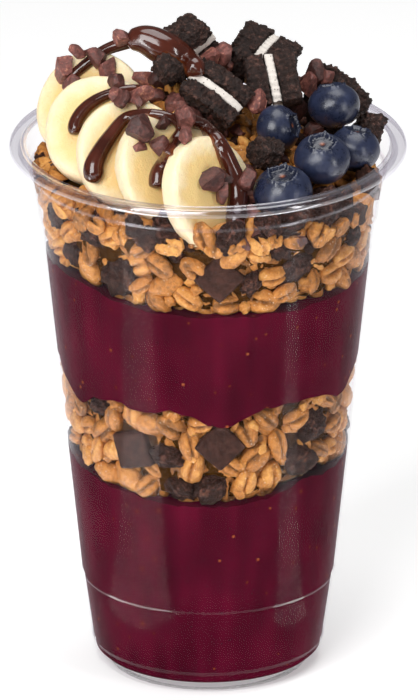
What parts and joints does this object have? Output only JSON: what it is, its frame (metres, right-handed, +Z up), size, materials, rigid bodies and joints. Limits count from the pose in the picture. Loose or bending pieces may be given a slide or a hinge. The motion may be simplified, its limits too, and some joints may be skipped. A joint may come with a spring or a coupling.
{
  "type": "acai bowl",
  "caption": "Clear plastic cup of acai layered with granola, topped with banana slices, blueberries, sandwich cookie pieces, chocolate sauce and cacao nibs.",
  "frame": {"origin": "centre of the foot ring, on the surface that the cup stands on", "axes": "+Z up along the cup's axis, -Y towards the front, where the banana slices fan round, and +X to the blueberries' side"},
  "size_m": [0.098, 0.098, 0.1636],
  "materials": {
    "clear_plastic": "clear and glossy",
    "acai": "thick frozen puree with a soft sheen",
    "granola": "crisp golden flakes",
    "banana": "moist cut fruit",
    "blueberry": "waxy bloom",
    "cookie": "dry and crumbly",
    "cream": "matt sugar cream"
  },
  "bodies": {
    "root": {"cup": "clear_plastic", "acai_lower": "acai", "granola_mid": "granola", "acai_upper": "acai", "granola_top": "granola", "banana_1": "banana", "banana_2": "banana", "banana_3": "banana", "banana_4": "banana", "banana_5": "banana", "blueberry_1": "blueberry", "blueberry_2": "blueberry", "blueberry_3": "blueberry", "blueberry_4": "blueberry", "blueberry_5": "blueberry", "cookie_1_wafer_a": "cookie", "cookie_1_cream": "cream", "cookie_1_wafer_b": "cookie", "cookie_2_wafer_a": "cookie", "cookie_2_cream": "cream", "cookie_2_wafer_b": "cookie", "cookie_3_wafer_a": "cookie", "cookie_3_cream": "cream", "cookie_3_wafer_b": "cookie", "cookie_4_wafer_a": "cookie", "cookie_4_cream": "cream", "cookie_4_wafer_b": "cookie", "cookie_5": "cookie", "cookie_6": "cookie", "cookie_chunk_1": "cookie", "cookie_chunk_2": "cookie", "cookie_chunk_3": "cookie"}
  },
  "joints": []
}
